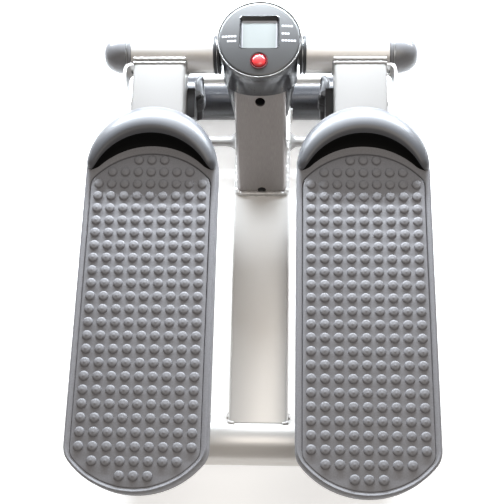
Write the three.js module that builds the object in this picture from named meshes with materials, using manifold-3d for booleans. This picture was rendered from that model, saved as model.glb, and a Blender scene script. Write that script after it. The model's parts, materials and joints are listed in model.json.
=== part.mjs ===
// Mini stepper: an H-shaped base, a leaning mast with a cross axle, two pedals that rock against each
// other through a rocker, two hydraulic dampers and a small round counter on the mast.
import * as THREE from 'three';
import { mergeVertices } from 'three/addons/utils/BufferGeometryUtils.js';
import Module from 'manifold-3d';

const wasm = await Module();
wasm.setup();

// ---------------------------------------------------------------- driving dimensions, millimetres
const GAP = 0.3;                       // between parts that touch
const Y_MID = 173.494;                  // the middle of the length, measured from the rear foot tube

const FOOT_R = 25, FOOT_WALL = 2, FOOT_Z = 30;
const REAR_HALF = 136, FRONT_HALF = 116, FRONT_Y = 381;
const SPINE_W = 60, SPINE_H = 40, SPINE_TOP = 50, SPINE_WALL = 2.5;

const AXLE_Y = 366.6, AXLE_Z = 158.7, AXLE_R = 10, AXLE_HALF = 119.5;
const MAST = 52, MAST_WALL = 3, MAST_ANGLE = THREE.MathUtils.degToRad(55.3);

const SLEEVE_R = 18.5, SLEEVE_BORE = 15.5, SLEEVE_IN = 45.5, SLEEVE_OUT = 126.8, CAP_TIP = 155.8;
const PEDAL_X = 98, PEDAL_W = 123, SLOPE = THREE.MathUtils.degToRad(-2.87);
const ARM_W = 51, ARM_H = 30, ARM_WALL = 2.5, ARM_END = 330;
const TOE_S = 134, TOE_R = PEDAL_W / 2, HEEL_END = 428.6, HEEL_R = 74.3;
const PLATE_LOW = 3, PLATE_TOP = 24, HOOD_H = 30, HOOD_WALL = 2.6;
const BACK_S = 180.3, BACK_R = 68.3, BACK_RISE = 6, TIP_S = 137;  // the cone that hollows the back of the toe stop

const ROD_Y = 328, ROD_Z = 30, ROD_R = 5.5, ROD_HALF = 118;
const DAMPER_S = 170, DAMPER_H = -31, DAMPER_R = 17, DAMPER_TUBE = 118, PISTON_R = 5;

const ROCKER_T = -49.4, ROCKER_P = 40, ROLLER_P = -6, ROLLER_X = 67, ROLLER_R = 9;

const FACE_R = 41, CUP_R = 37.3, CONSOLE_Y = AXLE_Y + 0.7;
const ROUND = 14, SMOOTH = 24;         // sides of a small and of a large round
const CORNER = 5;                      // outer corner radius of the rectangular tubes

// ---------------------------------------------------------------- solids
function solid(geometry) {
  const bare = geometry.index ? geometry.toNonIndexed() : geometry.clone();
  bare.deleteAttribute('normal');
  bare.deleteAttribute('uv');
  const merged = mergeVertices(bare, 1e-4);
  const at = merged.attributes.position.array, tri = [];
  const index = merged.index.array;
  for (let i = 0; i < index.length; i += 3) {
    const [a, b, c] = [index[i], index[i + 1], index[i + 2]];
    if (a !== b && b !== c && c !== a) tri.push(a, b, c);
  }
  let volume = 0;
  for (let i = 0; i < tri.length; i += 3) {
    const [a, b, c] = [0, 1, 2].map((k) => new THREE.Vector3().fromArray(at, 3 * tri[i + k]));
    volume += a.dot(b.cross(c));
  }
  if (volume < 0) for (let i = 0; i < tri.length; i += 3) [tri[i], tri[i + 1]] = [tri[i + 1], tri[i]];
  return new wasm.Manifold(new wasm.Mesh({
    numProp: 3, vertProperties: new Float32Array(at), triVerts: new Uint32Array(tri),
  }));
}
const join = (...parts) => parts.reduce((sum, part) => sum.add(part));
const less = (body, ...cuts) => cuts.reduce((rest, cut) => rest.subtract(cut), body);

function box(x0, x1, y0, y1, z0, z1) {
  const g = new THREE.BoxGeometry(Math.abs(x1 - x0), Math.abs(y1 - y0), Math.abs(z1 - z0));
  g.translate((x0 + x1) / 2, (y0 + y1) / 2, (z0 + z1) / 2);
  return solid(g);
}
// A round bar from point a to point b; r1 is the radius at b.
function bar(a, b, r0, r1 = r0, sides = ROUND) {
  const from = new THREE.Vector3(...a), to = new THREE.Vector3(...b), along = to.clone().sub(from);
  const g = new THREE.CylinderGeometry(r1, r0, along.length(), sides);
  g.translate(0, along.length() / 2, 0);
  g.applyQuaternion(new THREE.Quaternion().setFromUnitVectors(
    new THREE.Vector3(0, 1, 0), along.clone().normalize()));
  g.translate(...a);
  return solid(g);
}
const barX = (x0, x1, y, z, r0, r1 = r0, sides = ROUND) =>
  bar([Math.min(x0, x1), y, z], [Math.max(x0, x1), y, z], x0 < x1 ? r0 : r1, x0 < x1 ? r1 : r0, sides);
const barZ = (x, y, z0, z1, r0, r1 = r0, sides = ROUND) => bar([x, y, z0], [x, y, z1], r0, r1, sides);
// A turned piece about +Z; points are [radius, height] from the axis back to the axis.
const turned = (points, sides = SMOOTH) => {
  const g = new THREE.LatheGeometry(points.map(([r, h]) => new THREE.Vector2(r, h)), sides);
  g.rotateX(Math.PI / 2);
  return solid(g);
};
// The same about +X from x, pointing outwards on the given side.
const turnedX = (points, side, x, y, z, sides = SMOOTH) =>
  turned(points, sides).rotate([0, 90 * side, 0]).translate([side * x, y, z]);
// A flat outline of [x, y] points between two heights.
function slab(points, z0, z1) {
  const g = new THREE.ExtrudeGeometry(new THREE.Shape(points.map(([x, y]) => new THREE.Vector2(x, y))),
    { depth: z1 - z0, bevelEnabled: false, curveSegments: 1 });
  g.translate(0, 0, z0);
  return solid(g);
}
// An outline of [y, z] points between two x values.
const slabX = (points, x0, x1) => slab(points, Math.min(x0, x1), Math.max(x0, x1)).rotate([90, 0, 90]);
const arc = (cx, cy, r, from, to, steps) => Array.from({ length: steps + 1 }, (_, i) => {
  const a = from + (to - from) * i / steps;
  return [cx + r * Math.cos(a), cy + r * Math.sin(a)];
});
const degrees = THREE.MathUtils.radToDeg;
// A rounded rectangle, half sizes w and h, and a length of rectangular tube or bar with that outline.
const rounded = (w, h, r) => [[w, h, 0], [-w, h, 1], [-w, -h, 2], [w, -h, 3]].flatMap(([x, y, k]) =>
  arc(x - Math.sign(x) * r, y - Math.sign(y) * r, r, k * Math.PI / 2, (k + 1) * Math.PI / 2, 2));
const barOfZ = (w, h, r, z0, z1) => slab(rounded(w, h, r), z0, z1);
const barOfY = (w, h, r, y0, y1) => slab(rounded(w, h, r), -y1, -y0).rotate([90, 0, 0]);

// ---------------------------------------------------------------- frames the pieces are drawn in
// Mast: x across, y square to the mast and forwards, z up along it, from the axle.
const onMast = (body) => body.rotate([degrees(MAST_ANGLE) - 90, 0, 0]).translate([0, AXLE_Y, AXLE_Z]);
// Pedal: x across its own middle, y forwards and z up from the axle, before the pedal's slope.
const onPedal = (body) => body.rotate([degrees(SLOPE), 0, 0]).translate([PEDAL_X, AXLE_Y, AXLE_Z]);
// Damper: z from the cross rod to the upper pin.
const pinY = AXLE_Y - DAMPER_S * Math.cos(SLOPE) - DAMPER_H * Math.sin(SLOPE);
const pinZ = AXLE_Z - DAMPER_S * Math.sin(SLOPE) + DAMPER_H * Math.cos(SLOPE);
const DAMPER_LENGTH = Math.hypot(pinY - ROD_Y, pinZ - ROD_Z);
const damperTilt = Math.atan2(ROD_Y - pinY, pinZ - ROD_Z);
const onDamper = (body) => body.rotate([degrees(damperTilt), 0, 0]).translate([PEDAL_X, ROD_Y, ROD_Z]);
// The bore a shaft of radius r turns in.
const running = (r) => r / Math.cos(Math.PI / ROUND) + 0.05;
const mirrored = (body) => body.mirror([1, 0, 0]);

// ---------------------------------------------------------------- base
function footTube(half, y) {
  return less(barX(-half, half, y, FOOT_Z, FOOT_R, FOOT_R, SMOOTH),
    barX(-half - 5, half + 5, y, FOOT_Z, FOOT_R - FOOT_WALL, FOOT_R - FOOT_WALL, SMOOTH));
}
function footCap(half, y) {
  const inner = half - 16, lip = half + 5, r = FOOT_R + 2.3;
  const shell = join(barX(inner, lip, y, FOOT_Z, r, r, SMOOTH),
    barX(lip, lip + 4, y, FOOT_Z, r, r - 5, SMOOTH), box(inner, lip, y - 17, y + 17, 0, 22));
  return less(shell, barX(inner - 5, half + GAP, y, FOOT_Z, FOOT_R + GAP, FOOT_R + GAP, SMOOTH));
}
function spine() {
  const w = SPINE_W / 2, low = SPINE_TOP - SPINE_H, t = SPINE_WALL;
  const h = SPINE_H / 2, at = [0, 0, low + h];
  return less(barOfY(w, h, CORNER, 0, FRONT_Y).translate(at),
    barOfY(w - t, h - t, CORNER - t, -5, FRONT_Y + 5).translate(at),
    barX(-w - 5, w + 5, 0, FOOT_Z, FOOT_R + GAP, FOOT_R + GAP, SMOOTH),
    barX(-w - 5, w + 5, FRONT_Y, FOOT_Z, FOOT_R + GAP, FOOT_R + GAP, SMOOTH),
    barX(-w - 5, w + 5, ROD_Y, ROD_Z, ROD_R + GAP));
}
function mast() {
  const w = MAST / 2, t = MAST_WALL;
  const tube = less(barOfZ(w, w, CORNER, -200, 12), barOfZ(w - t, w - t, CORNER - t, -210, 20),
    ...[-38.7, -147.5].map((at) => bar([0, -w - 5, at], [0, -w + t + 5, at], 5)));
  return less(onMast(tube), box(-60, 60, 0, 500, -50, SPINE_TOP + GAP),
    box(-60, 60, 0, 500, 172, 260), barX(-60, 60, AXLE_Y, AXLE_Z, AXLE_R + GAP));
}
function crossRod() {
  const w = SPINE_W / 2 + GAP;
  const half = (side) => join(barX(side * w, side * (w + 6), ROD_Y, ROD_Z, 10.8, ROD_R),
    barX(side * 81, side * 85.4, ROD_Y, ROD_Z, 8));
  return join(barX(-ROD_HALF, ROD_HALF, ROD_Y, ROD_Z, ROD_R), half(1), half(-1));
}
const rodNut = () => less(barX(110.7, 116.2, ROD_Y, ROD_Z, 9.5, 9.5, 6),
  barX(105, 120, ROD_Y, ROD_Z, ROD_R + GAP));

// ---------------------------------------------------------------- axle, rocker
const BOLT_R = 4;
const axle = () => less(barX(-AXLE_HALF, AXLE_HALF, AXLE_Y, AXLE_Z, AXLE_R),
  ...[1, -1].map((s) => barX(s * 100, s * 130, AXLE_Y, AXLE_Z, BOLT_R + GAP)));
const axleBolt = () => join(barX(104, AXLE_HALF + 2, AXLE_Y, AXLE_Z, BOLT_R),
  barX(AXLE_HALF + GAP, AXLE_HALF + 2.8, AXLE_Y, AXLE_Z, 12),
  barX(AXLE_HALF + 2.5, AXLE_HALF + 8.5, AXLE_Y, AXLE_Z, 8, 8, 6));

const HUB = 7.5, LUG_AT = HUB + 1.5, LUG_T = 3;
function rockerBracket() {
  const back = MAST / 2 + GAP, low = ROCKER_T - LUG_AT - LUG_T, high = ROCKER_T + LUG_AT + LUG_T;
  const lug = (t) => less(join(box(-10, 10, back, ROCKER_P, t, t + LUG_T),
    barZ(0, ROCKER_P, t, t + LUG_T, 10)), barZ(0, ROCKER_P, t - 1, t + LUG_T + 1, 6 + GAP));
  return onMast(join(box(-10, 10, back, back + 2.2, low, high), lug(low), lug(high - LUG_T)));
}
const pinLow = ROCKER_T - LUG_AT - LUG_T - GAP, pinHigh = ROCKER_T + LUG_AT + LUG_T + GAP;
const rockerPin = () => onMast(join(barZ(0, ROCKER_P, pinLow - 6.5, pinHigh + 1, 6),
  barZ(0, ROCKER_P, pinHigh, pinHigh + 4.6, 9, 9, 6)));
const rockerNut = () => onMast(less(barZ(0, ROCKER_P, pinLow - 5, pinLow, 9, 9, 6),
  barZ(0, ROCKER_P, pinLow - 9, pinLow + 4, 6 + GAP)));

const ROLLER_LOW = ROCKER_T - 7.7, ROLLER_HIGH = ROLLER_LOW + 14;
function rockerBeam() {
  const wing = (s) => {
    const path = [[70, ROCKER_P, ROCKER_T], [64, 14, ROCKER_T - 14], [ROLLER_X, ROLLER_P, ROLLER_LOW - 6.3]];
    const [a, b, c] = path.map(([x, y, z]) => [s * x, y, z]);
    const ball = ([x, y, z]) => solid(new THREE.SphereGeometry(5.1, 10, 6).translate(x, y, z));
    return join(bar([0, ROCKER_P, ROCKER_T], a, 5, 5, 10), ball(a), bar(a, b, 5, 5, 10), ball(b),
      bar(b, c, 5, 5, 10), barZ(s * ROLLER_X, ROLLER_P, ROLLER_LOW - 11.3, ROLLER_LOW - GAP, 7),
      barZ(s * ROLLER_X, ROLLER_P, ROLLER_LOW - 2, ROLLER_HIGH + 1, BOLT_R),
      barZ(s * ROLLER_X, ROLLER_P, ROLLER_HIGH + GAP, ROLLER_HIGH + 3.2, 6.5));
  };
  const hub = barZ(0, ROCKER_P, ROCKER_T - HUB, ROCKER_T + HUB, 11);
  return onMast(less(join(hub, wing(1), wing(-1)), barZ(0, ROCKER_P, -90, 0, running(6))));
}
const roller = () => onMast(less(barZ(ROLLER_X, ROLLER_P, ROLLER_LOW, ROLLER_HIGH, ROLLER_R),
  barZ(ROLLER_X, ROLLER_P, ROLLER_LOW - 2, ROLLER_HIGH + 2, running(BOLT_R))));

// ---------------------------------------------------------------- pedal, drawn for the right foot
const sleeve = () => less(barX(SLEEVE_IN, SLEEVE_OUT, AXLE_Y, AXLE_Z, SLEEVE_R, SLEEVE_R, SMOOTH),
  barX(SLEEVE_IN - 5, SLEEVE_OUT + 5, AXLE_Y, AXLE_Z, SLEEVE_BORE, SLEEVE_BORE, SMOOTH));
const bushing = (x0, x1) => less(barX(x0, x1, AXLE_Y, AXLE_Z, SLEEVE_BORE - GAP, SLEEVE_BORE - GAP, SMOOTH),
  barX(x0 - 9, x1 + 5, AXLE_Y, AXLE_Z, running(AXLE_R)));
const innerBushing = () => join(bushing(SLEEVE_IN - 3, SLEEVE_IN + 16),
  less(barX(SLEEVE_IN - 6.5, SLEEVE_IN - GAP, AXLE_Y, AXLE_Z, 19, 19, SMOOTH),
    barX(20, 60, AXLE_Y, AXLE_Z, running(AXLE_R))));
function endCap() {
  const base = SLEEVE_OUT + GAP, dome = base + 4.8, tall = CAP_TIP - dome;
  const round = Array.from({ length: 8 }, (_, i) => {
    const a = Math.PI / 2 * (i / 7);
    return [19.2 * Math.cos(a) ** 0.7, dome + tall * Math.sin(a) ** 0.9];
  });
  round[7] = [0, CAP_TIP];
  const out = [[19, base], [19, dome - 1], [18.3, dome - 0.8], [18.3, dome], ...round];
  const inside = [[0, 147], [9, 146], [13.4, 138], [13.4, base - 6], [SLEEVE_BORE - GAP, base - 6],
    [SLEEVE_BORE - GAP, base]];
  return turnedX([...out, ...inside, [19, base]].map(([r, h]) => [r, h - base]), 1, base, AXLE_Y, AXLE_Z);
}
function arm() {
  const w = ARM_W / 2, h = ARM_H / 2, t = ARM_WALL;
  return onPedal(less(barOfY(w, h, CORNER, -ARM_END, 0),
    barOfY(w - t, h - t, CORNER - t, -ARM_END - 5, 5),
    barX(-w - 5, w + 5, 0, 0, SLEEVE_R + GAP, SLEEVE_R + GAP, SMOOTH)));
}
function armPlug() {
  const w = ARM_W / 2, h = ARM_H / 2, t = ARM_WALL + GAP;
  return onPedal(join(barOfY(w, h, CORNER, -ARM_END - 3.5, -ARM_END - GAP),
    barOfY(w - t, h - t, CORNER - t, -ARM_END - 1, -ARM_END + 12)));
}
function cordEye() {
  const root = ARM_W / 2 + GAP;
  const outer = [[root, -15.6], [31, -15.6], [34.4, -18.5], [35.6, -26], [35.2, -36], [33.4, -46],
    [30.6, -55], [27.6, -61.5], [root, -62.5]];
  const inner = [[root, -58.6], [27.4, -54], [30.6, -44.8], [32.2, -35.5], [32.6, -27], [31.8, -20.6],
    [29.8, -18.6], [root, -18.6]];
  return onPedal(less(slab([...outer, ...inner], -8, 13),
    barX(20, 40, 0, 0, SLEEVE_R + 1.2, SLEEVE_R + 1.2, SMOOTH)));
}
const rollerLug = () => slabX([[318.3, 116.8], [333.2, 138.3], [337.2, 144.6], [305, 146.2], [307, 136],
  [313.3, 117.2]], 65, 86);

// The pedal's outline: a half-round toe, straight sides and a shallow round heel.
function footprint(inset) {
  const r = TOE_R - inset, heelR = HEEL_R - inset, centre = HEEL_END - HEEL_R;
  const turn = Math.asin(r / heelR);
  return [...arc(0, -TOE_S, r, 0, Math.PI, 18),
    ...arc(0, -centre, heelR, 1.5 * Math.PI - turn, 1.5 * Math.PI + turn, 10)];
}
const MAT_HALF = TOE_R - 6, MAT_FRONT = 120, MAT_R = 70.5;
function matOutline(inset) {
  const r = MAT_HALF - inset, front = MAT_R - inset, heelR = HEEL_R - 6 - inset;
  const nose = Math.asin(r / front), turn = Math.asin(r / heelR);
  return [...arc(0, -MAT_FRONT - MAT_R, front, Math.PI / 2 - nose, Math.PI / 2 + nose, 10),
    ...arc(0, -(HEEL_END - HEEL_R), heelR, 1.5 * Math.PI - turn, 1.5 * Math.PI + turn, 10)];
}
const supportPlate = () => onPedal(slab(footprint(3.4), ARM_H / 2 + GAP, ARM_H / 2 + 2.8));
const footplate = () => onPedal(less(slab(footprint(0), PLATE_LOW, PLATE_TOP),
  slab(footprint(3), PLATE_LOW - 5, ARM_H / 2 + 3.1), slab(matOutline(0), PLATE_TOP - 2, PLATE_TOP + 5),
  box(-ARM_W / 2 - 1, ARM_W / 2 + 1, -TOE_S, 0, -20, ARM_H / 2 + 1)));
const treadMat = () => onPedal(slab(matOutline(GAP), PLATE_TOP - 2 + GAP, PLATE_TOP + 0.6));
function toeHood() {
  const low = PLATE_TOP + GAP, centre = PLATE_TOP - 6;
  const dome = (shrink) => solid(new THREE.SphereGeometry(1, 28, 14).rotateX(Math.PI / 2)
    .scale(TOE_R - shrink, TOE_R + 0.5 - shrink, HOOD_H - shrink).translate(0, -TOE_S, centre));
  const back = (grow) => bar([0, -BACK_S, low - 10], [0, -BACK_S, low + 30],
    BACK_R - BACK_RISE / 2 + grow, BACK_R + 1.5 * BACK_RISE + grow, 60);
  return onPedal(less(less(dome(0), back(0)), less(dome(HOOD_WALL), back(HOOD_WALL)),
    box(-80, 80, -300, 0, -40, low), box(-80, 80, -300, -TIP_S, -40, 80)));
}
function damperBracket() {
  const top = -ARM_H / 2 - GAP, s = -DAMPER_S;
  const cheek = (u) => join(box(u, u + 3, s - 14, s + 14, DAMPER_H, top),
    barX(u, u + 3, s, DAMPER_H, 11));
  return onPedal(less(join(box(-13.6, 13.6, s - 14, s + 14, top - 3, top), cheek(10.6), cheek(-13.6)),
    barX(-20, 20, s, DAMPER_H, BOLT_R + GAP)));
}
const damperPin = () => onPedal(join(barX(-17, 17, -DAMPER_S, DAMPER_H, BOLT_R),
  barX(13.9, 17, -DAMPER_S, DAMPER_H, 6.5, 6.5, 6), barX(-17, -13.9, -DAMPER_S, DAMPER_H, 6.5, 6.5, 6)));

// ---------------------------------------------------------------- damper
const EYE_R = 10.5, PISTON_GAP = 0.3;
const damperCylinder = () => onDamper(less(
  join(barX(-12, 12, 0, 0, EYE_R), barZ(0, 0, 6, 16, 9), barZ(0, 0, 14, DAMPER_TUBE, DAMPER_R)),
  barZ(0, 0, 20, DAMPER_TUBE - 6, 13), barZ(0, 0, 20, DAMPER_TUBE + 5, PISTON_R + 0.08),
  barX(-20, 20, 0, 0, running(ROD_R))));
const damperRod = () => onDamper(less(
  join(barX(-10, 10, 0, DAMPER_LENGTH, EYE_R), barZ(0, 0, DAMPER_LENGTH - 108, DAMPER_LENGTH - 6, PISTON_R),
    barZ(0, 0, DAMPER_LENGTH - 114, DAMPER_LENGTH - 106, 13 - PISTON_GAP)),
  barX(-20, 20, 0, DAMPER_LENGTH, 5.5)));

// ---------------------------------------------------------------- counter
const LCD = [-19, 19, 356.5, 391.3], BUTTON_Y = 343.5, BUTTON_R = 6.4;
function housing() {
  const outer = turned([[0, 148], [33, 148], [35.5, 156], [37.2, 168], [39, 180], [40.6, 187], [0, 187]])
    .translate([0, CONSOLE_Y, 0]);
  const cup = onMast(barZ(0, 0, -26, 4, CUP_R, CUP_R, SMOOTH));
  const ears = onMast(barZ(0, 0, -66, -20, 28, CUP_R, SMOOTH).intersect(box(-40, 40, -25.7, 25.7, -66, -20)));
  return less(join(outer, cup, ears),
    onMast(barOfZ(MAST / 2 + GAP, MAST / 2 + GAP, CORNER, -90, 12.3)),
    turned([[0, 173], [33.5, 173], [37, 186], [37, 190], [0, 190]]).translate([0, CONSOLE_Y, 0]),
    barX(-60, 60, AXLE_Y, AXLE_Z, AXLE_R + GAP));
}
function bezel() {
  const disc = turned([[0, 187.3], [FACE_R - 0.6, 187.3], [FACE_R, 188.2], [FACE_R - 0.4, 189.6],
    [FACE_R - 2, 190.1], [FACE_R - 2.3, 189.6], [FACE_R - 3, 189.9], [25, 190.6], [0, 190.9]], 36)
    .translate([0, CONSOLE_Y, 0]);
  return less(disc, box(LCD[0], LCD[1], LCD[2], LCD[3], 180, 200),
    barZ(0, BUTTON_Y, 180, 200, BUTTON_R + 2.3));
}
const lcdWindow = () => box(LCD[0] + GAP, LCD[1] - GAP, LCD[2] + GAP, LCD[3] - GAP, 188.4, 190.3);
const lcdModule = () => join(box(LCD[0] + GAP, LCD[1] - GAP, LCD[2] + GAP, LCD[3] - GAP, 186, 188.1),
  box(-21, 21, 355, 392.5, 182, 186.9));
const buttonRing = () => less(join(barZ(0, BUTTON_Y, 187, 190.7, BUTTON_R + 2),
  barZ(0, BUTTON_Y, 185.8, 187, BUTTON_R + 3)), barZ(0, BUTTON_Y, 180, 200, BUTTON_R + 0.2));
const resetButton = () => turned([[0, 179], [BUTTON_R + 2, 179], [BUTTON_R + 2, 181.5], [BUTTON_R, 181.5],
  [BUTTON_R, 191], [5.4, 192.2], [3.2, 192.9], [0, 193.2]]).translate([0, BUTTON_Y, 0]);
const board = () => less(turned([[0, 176], [32, 176], [32, 177.6], [0, 177.6]]).translate([0, AXLE_Y, 0]),
  box(-4, 4, 330, 338, 170, 180));

// ---------------------------------------------------------------- assembly
const group = new THREE.Group();
const STEEL = { roughness: 0.35, metalness: 0.7 }, PLASTIC = { roughness: 0.5, metalness: 0 };
const SILVER = [0xd9d8d4, STEEL], BRUSHED = [0x8c8784, STEEL], ZINC = [0xa9abad, STEEL];
const BLACK = [0x1d1e20, PLASTIC], DARK = [0x4b4e52, PLASTIC];
const TREAD = [0x85868c, { roughness: 0.75, metalness: 0 }];
function add(name, body, [color, finish]) {
  const out = body.translate([0, -Y_MID, 0]).getMesh();
  const g = new THREE.BufferGeometry();
  g.setAttribute('position', new THREE.BufferAttribute(new Float32Array(out.vertProperties), 3));
  g.setIndex(new THREE.BufferAttribute(new Uint32Array(out.triVerts), 1));
  g.computeVertexNormals();
  const mesh = new THREE.Mesh(g, new THREE.MeshStandardMaterial({ color, ...finish }));
  mesh.name = name;
  group.add(mesh);
}
function pair(name, body, look) {
  add(`${name}_right`, body, look);
  add(`${name}_left`, mirrored(body), look);
}

add('rear_foot_tube', footTube(REAR_HALF, 0), SILVER);
add('front_foot_tube', footTube(FRONT_HALF, FRONT_Y), DARK);
pair('rear_foot_cap', footCap(REAR_HALF, 0), BLACK);
pair('front_foot_cap', footCap(FRONT_HALF, FRONT_Y), BLACK);
add('spine_tube', spine(), SILVER);
add('mast_tube', mast(), BRUSHED);
add('damper_crossrod', crossRod(), SILVER);
pair('crossrod_nut', rodNut(), ZINC);
add('pivot_axle', axle(), ZINC);
pair('axle_bolt', axleBolt(), ZINC);
add('rocker_bracket', rockerBracket(), BRUSHED);
add('rocker_pin', rockerPin(), ZINC);
add('rocker_nut', rockerNut(), ZINC);
add('rocker_beam', rockerBeam(), SILVER);
pair('rocker_roller', roller(), BLACK);

pair('pivot_sleeve', sleeve(), SILVER);
pair('inner_bushing', innerBushing(), BLACK);
pair('outer_bushing', bushing(100, 118), BLACK);
pair('end_cap', endCap(), DARK);
pair('pedal_arm', arm(), SILVER);
pair('arm_plug', armPlug(), BLACK);
pair('cord_eye', cordEye(), SILVER);
pair('roller_lug', rollerLug(), BLACK);
pair('support_plate', supportPlate(), BLACK);
pair('footplate', footplate(), TREAD);
pair('tread_mat', treadMat(), TREAD);
pair('toe_hood', toeHood(), DARK);
pair('damper_bracket', damperBracket(), BLACK);
pair('damper_pin', damperPin(), ZINC);
pair('damper_cylinder', damperCylinder(), BLACK);
pair('damper_rod', damperRod(), ZINC);

add('console_housing', housing(), DARK);
add('console_bezel', bezel(), [0x9a9d9f, PLASTIC]);
add('lcd_window', lcdWindow(), [0xdde6e2, { roughness: 0.1, metalness: 0 }]);
add('lcd_module', lcdModule(), BLACK);
add('counter_board', board(), [0x2f6b3c, PLASTIC]);
add('button_ring', buttonRing(), [0x8e2024, PLASTIC]);
add('reset_button', resetButton(), [0xe04848, PLASTIC]);

export default group;
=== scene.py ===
# Mini stepper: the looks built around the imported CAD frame.
# Points are drawn in millimetres; make() turns them into metres. The studio and the camera are in metres.
import json
import math
import bpy
import bmesh
from mathutils import Matrix, Vector


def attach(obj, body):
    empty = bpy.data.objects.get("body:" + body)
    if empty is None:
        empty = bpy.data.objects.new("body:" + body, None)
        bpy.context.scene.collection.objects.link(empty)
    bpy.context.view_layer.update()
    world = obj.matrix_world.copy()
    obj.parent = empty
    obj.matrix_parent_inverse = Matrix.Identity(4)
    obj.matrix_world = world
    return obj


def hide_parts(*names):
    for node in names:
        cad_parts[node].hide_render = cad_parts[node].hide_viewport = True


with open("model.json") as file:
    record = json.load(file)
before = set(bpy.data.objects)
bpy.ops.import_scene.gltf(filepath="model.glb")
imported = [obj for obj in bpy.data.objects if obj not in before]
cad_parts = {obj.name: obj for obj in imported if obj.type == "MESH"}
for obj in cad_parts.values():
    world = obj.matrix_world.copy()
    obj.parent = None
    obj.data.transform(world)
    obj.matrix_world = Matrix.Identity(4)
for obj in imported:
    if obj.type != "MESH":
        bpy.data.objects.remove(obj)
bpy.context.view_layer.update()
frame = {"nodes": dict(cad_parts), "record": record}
MM = 0.001
Y_MID = 173.494            # the CAD source's offset from the rear foot tube to the middle, mm

# ------------------------------------------------------------------ frames the pieces are drawn in (mm)
AXLE_Z = 158.7
AXLE = Vector((0, 366.6 - Y_MID, AXLE_Z))
SLOPE = math.radians(-2.87)           # the pedals' tilt at rest
MAST_TILT = math.radians(55.3 - 90)   # the mast leans 55.3 degrees from the floor
PEDAL_X = 98
RAIL_Z, REAR_HALF, FRONT_HALF = 30, 136, 116
REAR_Y, FRONT_Y, ROD_Y = -Y_MID, 381 - Y_MID, 328 - Y_MID
SPINE_TOP = 50.4
ROLLER_X, ROLLER_Y = 67, -6           # in the mast frame
PIN_S, PIN_DROP = 170, 31             # the damper's upper pin in the pedal frame, behind and below the axle
MODEL = Matrix()


def pedal_place(side):
    """Pedal frame: x outboard from the pedal's middle, -y towards the heel, z up from the axle."""
    at = AXLE + Vector((side * PEDAL_X, 0, 0))
    return Matrix.Translation(at * MM) @ Matrix.Rotation(SLOPE, 4, "X")


def mast_place():
    """Mast frame: x across, y square to the mast and forwards, z up along it from the axle."""
    return Matrix.Translation(AXLE * MM) @ Matrix.Rotation(MAST_TILT, 4, "X")


MAST = mast_place()
SIDES = ((1, "right"), (-1, "left"))


# ------------------------------------------------------------------ mesh helpers, points in mm
def arc(cx, cy, r, start, end, steps):
    """Points on a circle from one angle to another."""
    return [(cx + r * math.cos(a), cy + r * math.sin(a))
            for a in (start + (end - start) * i / steps for i in range(steps + 1))]


def soft_corner(a, corner, b, steps=6):
    """A curve from a to b that turns at the corner."""
    out = []
    for i in range(steps + 1):
        t = i / steps
        out.append(tuple((1 - t) ** 2 * p + 2 * t * (1 - t) * q + t * t * r
                         for p, q, r in zip(a, corner, b)))
    return out


def rect(w, h, r, steps=5, cx=0, cy=0):
    """A rounded rectangle of half sizes w and h."""
    out = []
    for k, (x, y) in enumerate(((w, h), (-w, h), (-w, -h), (w, -h))):
        out += arc(cx + x - math.copysign(r, x), cy + y - math.copysign(r, y), r,
                   k * math.pi / 2, (k + 1) * math.pi / 2, steps)
    return out


def skin(rows, close=False, mat=0):
    """Faces over rings of points; close joins the last ring to the first, else both ends are capped."""
    n, m = len(rows[0]), len(rows)
    faces = []
    for i in range(m if close else m - 1):
        a, b = i * n, (i + 1) % m * n
        for k in range(n):
            q = (k + 1) % n
            faces.append((a + k, a + q, b + q, b + k))
    if not close:
        faces += [tuple(range(n))[::-1], tuple((m - 1) * n + k for k in range(n))]
    return [p for row in rows for p in row], faces, mat


def spin(points, axis="z", at=(0, 0, 0), steps=48, close=False, mat=0):
    """A turned shape; points are (radius, height) along the axis."""
    rows = []
    for r, h in points:
        circle = arc(0, 0, max(r, 0.02), 0, 2 * math.pi * (1 - 1 / steps), steps - 1)
        rows.append([{"z": (x, y, h), "x": (h, x, y), "y": (x, h, y)}[axis] for x, y in circle])
    rows = [[(x + at[0], y + at[1], z + at[2]) for x, y, z in row] for row in rows]
    return skin(rows, close=close, mat=mat)


def sweep(path, r, steps=20, mat=0, wobble=0.0, seed=1.0):
    """A round bar along a path of points; wobble makes it a weld bead."""
    path = [Vector(p) for p in path]
    rows, side = [], None
    for i, p in enumerate(path):
        along = (path[min(i + 1, len(path) - 1)] - path[max(i - 1, 0)]).normalized()
        if side is None:
            side = Vector((0, 0, 1)) if abs(along.z) < 0.9 else Vector((0, 1, 0))
        side = (side - along * side.dot(along)).normalized()
        other = along.cross(side)
        k = 1 + wobble * (math.sin(i * 1.9 + seed) * 0.6 + math.sin(i * 0.83 + seed * 2.3) * 0.4)
        rows.append([tuple(p + (side * c + other * d) * r * k) for c, d in
                     arc(0, 0, 1, 0, 2 * math.pi * (1 - 1 / steps), steps - 1)])
    return skin(rows, mat=mat)


def line(a, b, steps):
    """Points spread evenly from a to b."""
    return [tuple(p + (q - p) * i / steps for p, q in zip(a, b)) for i in range(steps + 1)]


def mirrored(part):
    verts, faces, mat = part
    return [(-x, y, z) for x, y, z in verts], faces, mat


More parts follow.
